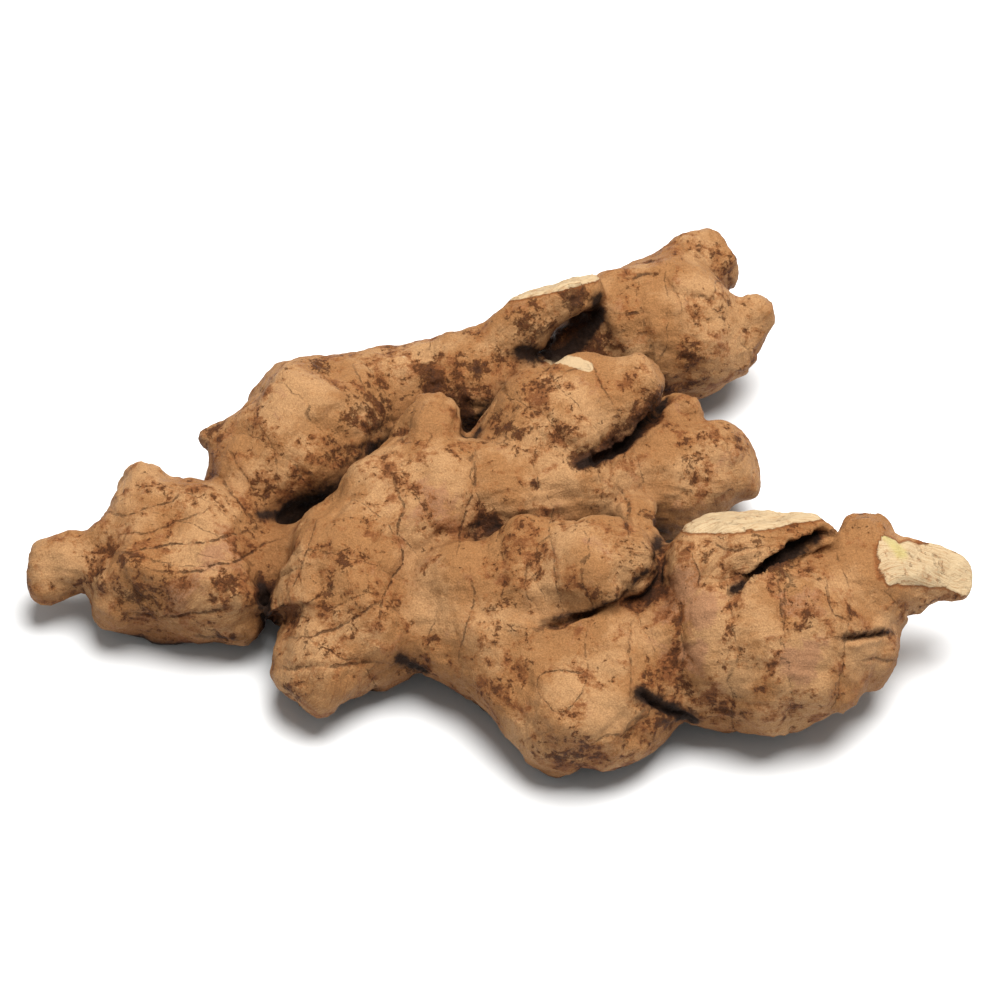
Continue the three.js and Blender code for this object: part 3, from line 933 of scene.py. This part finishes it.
class Bench:
    # where the nodes of one material are put together
    def __init__(self, name):
        self.material = bpy.data.materials.new(name)
        self.material.use_nodes = True
        self.tree = self.material.node_tree
        self.tree.nodes.clear()

    def node(self, kind, settings=None, sockets=None, output=0):
        made = self.tree.nodes.new(kind)
        for key, value in (settings or {}).items():
            setattr(made, key, value)
        for key, value in (sockets or {}).items():
            socket = made.inputs[key]
            if isinstance(value, Wire):
                self.tree.links.new(value.socket, socket)
            elif isinstance(value, tuple) and socket.type == "RGBA":
                socket.default_value = (*value, 1)
            else:
                socket.default_value = value
        return Wire(self, made.outputs[output]) if made.outputs else None

    def attribute(self, name):
        return self.node("ShaderNodeAttribute", {"attribute_name": name}, output="Fac")

    def between(self, value, low, high):
        # 0 below low and 1 above high, smooth between
        sockets = {"Value": value, "From Min": low, "From Max": high}
        return self.node("ShaderNodeMapRange", {"interpolation_type": "SMOOTHSTEP"}, sockets)

    def mix(self, share, a, b, way="MIX"):
        settings = {"data_type": "RGBA", "blend_type": way}
        return self.node("ShaderNodeMix", settings, {0: share, 6: a, 7: b}, output=2)

    def noise(self, place, scale, detail=3.0, rough=0.55, warp=0.0):
        return self.node("ShaderNodeTexNoise", {}, {
            "Vector": place, "Scale": scale, "Detail": detail, "Roughness": rough, "Distortion": warp,
        })

    def vector(self, x, y, z):
        return self.node("ShaderNodeCombineXYZ", {}, {0: x, 1: y, 2: z})


skin = {
    "tan": (0.345, 0.162, 0.058),
    "cream": (0.47, 0.258, 0.113),
    "rosy": (0.345, 0.165, 0.086),
    "amber": (0.285, 0.106, 0.030),
    "rust": (0.180, 0.056, 0.014),
    "brown": (0.085, 0.028, 0.008),
    "dirt": (0.034, 0.013, 0.005),
    "scarLine": (0.050, 0.019, 0.008),
    # painted shade with soil: nearly black, for the deepest sheltered places and the middle of the grime
    # lines
    "creaseShade": (0.009, 0.004, 0.002),
    # painted shade with soil, for the grime lines and deep shelter
    "grime": (0.030, 0.011, 0.004),
    # painted shade with dust: multiplied into sheltered skin
    "dustAndShade": (0.60, 0.50, 0.42),
    "cutCream": (0.50, 0.37, 0.215),
    "cutGreen": (0.42, 0.37, 0.10),
    "cutFibre": (0.33, 0.175, 0.072),
    "roughness": (0.55, 0.80),
    "shine": 0.14,
}


# Scale, detail, roughness and distortion of the noises. Fibres run along the limb.
fibres = {"skin": (1.7, 5.0, 0.62), "cut": (2.0, 5.0, 0.68)}
grains = [
    (0.075, 3.0, 0.5), (0.085, 3.0, 0.6), (0.19, 8.0, 0.66, 0.3), (0.36, 10.0, 0.74, 0.2),
    (0.62, 7.0, 0.70), (1.05, 8.0, 0.72), (2.9, 5.0, 0.75),
]

# Where a stain begins, where it is full, how much it covers and its colour: two of the broad
# noise, two of the crumbs of soil and one of the specks
stains = [
    (0.505, 0.56, 0.60, "amber"), (0.55, 0.60, 0.72, "rust"),
    (0.575, 0.615, 0.72, "brown"), (0.63, 0.68, 0.70, "dirt"),
    (0.615, 0.645, 0.75, "brown"),
]


def gingerSkin():
    bench = Bench("gingerSkin")
    place = bench.node("ShaderNodeTexCoord", output="Object")
    place = bench.node("ShaderNodeVectorMath", {"operation": "SCALE"}, {"Vector": place, "Scale": 1000.0})
    field = {name: bench.attribute(name) for name in fields}
    along, around, cut = field["alongLimb"], field["roundLimb"], field["cutFace"]
    soilPatch, rustPatch, fibrous = field["soilPatch"], field["rustPatch"], field["fibrousPatch"]

    fibre = bench.noise(bench.vector(along * 0.10, around, 0.0), *fibres["skin"])
    broad, cluster, patch, ragged, mottle, flecks, fine = (bench.noise(place, *size) for size in grains)
    clean = bench.between(field["palePatch"] + (mottle - 0.5) * 1.1, 0.22, 0.7)
    shelter = bench.between(field["shelterNear"], 0.30, 0.62)

    creamy = bench.between(broad * 0.7 + mottle * 0.3 + field["palePatch"] * 0.10, 0.45, 0.60)
    colour = bench.mix(creamy, skin["tan"], skin["cream"])
    rosyShare = bench.between(patch + field["rosyPatch"] * 0.35, 0.55, 0.72)
    colour = bench.mix(rosyShare * 0.7, colour, skin["rosy"])
    streaks = bench.between(fibre, 0.50, 0.68) * (0.16 + fibrous * 0.55)
    colour = bench.mix(streaks, colour, skin["rust"])

    # stains with ragged edges: amber outside, brown in the middle, thickest at scars and in shelter
    soiling = (
        field["scarZone"] * 0.022 + shelter * 0.060 + rustPatch * 0.075 + soilPatch * 0.060
        + (cluster - 0.5) * 0.24 - clean * 0.115 - 0.007
    )
    stain = patch * 0.45 + ragged * 0.55 + soiling
    crumbs = ragged * 0.6 + flecks * 0.4 + soiling * 0.8 + soilPatch * 0.065
    specks = flecks * 0.75 + fine * 0.25 + soiling * 0.55
    for amount, (low, high, cover, tone) in zip((stain, stain, crumbs, crumbs, specks), stains):
        colour = bench.mix(bench.between(amount, low, high) * cover, colour, skin[tone])
    grain = bench.between(fine, 0.25, 0.75)
    colour = bench.mix(0.74, colour, bench.mix(grain, (0.36, 0.32, 0.29), (1.0, 1.0, 1.0)), "MULTIPLY")

    # a scar is a thin dark line, broken in places, in a soft brown band
    wobble = (flecks - 0.5) * 1.3 + (fine - 0.5) * 0.9
    line = bench.between(abs(field["scarOffset"] + wobble), 0.24, 0.04)
    line = line * field["scarNear"] * bench.between(mottle, 0.44, 0.56) * 0.55
    # on the deep folds under and between limbs this dark line and its brown halo are painted shade; on thin
    # cracks they are their own colour
    crackDark = field["crackDark"]
    crackAway = abs(field["crackOffset"] + wobble * 0.75)
    crack = bench.between(crackAway / field["crackWidth"], 1.5, 0.4) * crackDark
    crack = crack * (0.15 + 0.85 * bench.between(mottle, 0.43, 0.56))
    halo = bench.between(crackAway, 1.9, 0.1) * crackDark * bench.between(flecks, 0.44, 0.60)
    bare = 1 - bench.between(cut, 0.2, 0.5)
    colour = bench.mix((halo * 0.6 * bare).least(1.0), colour, skin["rust"])
    line = line.most(crack).least(1.0) * bare
    colour = bench.mix(line * 0.76, colour, skin["scarLine"])

    # cut faces are cream and fibrous, with a brown edge
    strand = bench.noise(bench.vector(along * 0.13, around * 1.9, 3.0), *fibres["cut"])
    cutColour = bench.mix(bench.between(strand, 0.46, 0.66) * 0.8, skin["cutCream"], skin["cutFibre"])
    dried = bench.between(ragged * 0.6 + mottle * 0.4 - cut * 0.05, 0.46, 0.56)
    cutColour = bench.mix(dried * 0.5, cutColour, skin["amber"])
    green = bench.between(field["greenPatch"] + (mottle - 0.5) * 0.8, 0.2, 0.9)
    cutColour = bench.mix(green * 0.5, cutColour, skin["cutGreen"])
    torn = (strand - 0.5) * 1.5 + (fine - 0.5) * 0.4 + (mottle - 0.5) * 0.4
    cutSharp = bench.between(cut + torn, 0.48, 0.72)
    rim = bench.between(abs(cut + (mottle - 0.5) * 0.9 - 0.42), 0.36, 0.08)
    colour = bench.mix(cutSharp, colour, cutColour)
    colour = bench.mix(rim * 0.75, colour, skin["rust"])
    peeled = bench.between(field["peeledPatch"] + (mottle - 0.5) * 0.7, 0.45, 0.6)
    colour = bench.mix(peeled * 0.75, colour, skin["cutCream"])

    # sheltered skin is darkened with painted shade along with its dust, and deep places are made nearly
    # black with painted shade and soil
    far = field["shelterFar"]
    dustAndShade = bench.between(far + (mottle - 0.5) * 0.3, 0.20, 0.52)
    colour = bench.mix(dustAndShade * 0.75, colour, skin["dustAndShade"], "MULTIPLY")
    deep = bench.between(far + (ragged - 0.5) * 0.30, 0.41, 0.68)
    # the grime lines add painted shade with soil along the gaps and under the limbs
    deep = deep.most(bench.between(field["grimePatch"] + (ragged - 0.5) * 1.1, 0.15, 1.0))
    colour = bench.mix(deep * 0.9, colour, skin["grime"])
    colour = bench.mix(bench.between(deep, 0.65, 1.0) * 0.75, colour, skin["creaseShade"])

    raised = (
        fibre * (0.10 + fibrous * 0.40) + mottle * 0.42 + flecks * 0.34 + fine * 0.21 - line * 0.40
        + strand * cutSharp * 0.22 + bench.between(crumbs, 0.575, 0.615) * 0.14
    )
    bump = bench.node("ShaderNodeBump", {}, {"Strength": 1.0, "Distance": mm, "Height": raised})
    low, high = skin["roughness"]
    gloss = low + (high - low) * bench.between(mottle, 0.35, 0.7)
    shader = bench.node("ShaderNodeBsdfPrincipled", {}, {
        "Base Color": colour, "Roughness": gloss, "Normal": bump, "Specular IOR Level": skin["shine"],
    })
    bench.node("ShaderNodeOutputMaterial", {}, {"Surface": shader})
    return bench.material


hand.data.materials.clear()
hand.data.materials.append(gingerSkin())
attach(hand, "root")
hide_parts("rhizome")
print("skin dressed")


# Floor and light

studio = {
    "floor": (0.70, 0.70, 0.695),
    "floorSize": 6.0,  # m
    "world": (1.0, 0.99, 0.975),
    "worldStrength": 0.36,
    "keyPlace": (0.14, 0.06, 0.95),
    "keySize": 0.7,
    "keyPower": 21.0,  # W
}


def addStudio():
    deselectAll()
    bpy.ops.mesh.primitive_plane_add(size=studio["floorSize"], location=(0, 0, 0))
    floor = bpy.context.object
    floor.name = "paleTable"
    bench = Bench("palePaper")
    place = bench.node("ShaderNodeTexCoord", output="Object")
    tooth = bench.noise(place, 900.0, 2.0)
    shade = bench.mix(tooth * 0.02, studio["floor"], (0.60, 0.60, 0.60))
    shader = bench.node("ShaderNodeBsdfPrincipled", {}, {"Base Color": shade, "Roughness": 0.9})
    bench.node("ShaderNodeOutputMaterial", {}, {"Surface": shader})
    floor.data.materials.append(bench.material)

    world = bpy.data.worlds.new("softRoom")
    world.use_nodes = True
    background = world.node_tree.nodes["Background"]
    background.inputs["Color"].default_value = (*studio["world"], 1)
    background.inputs["Strength"].default_value = studio["worldStrength"]
    bpy.context.scene.world = world

    bpy.ops.object.light_add(type="AREA", location=studio["keyPlace"])
    key = bpy.context.object
    key.data.shape = "DISK"
    key.data.size = studio["keySize"]
    key.data.energy = studio["keyPower"]
    key.rotation_euler = (-Vector(studio["keyPlace"])).to_track_quat("-Z", "Y").to_euler()
    bpy.context.scene.view_settings.view_transform = "Standard"


addStudio()
print("studio is lit")
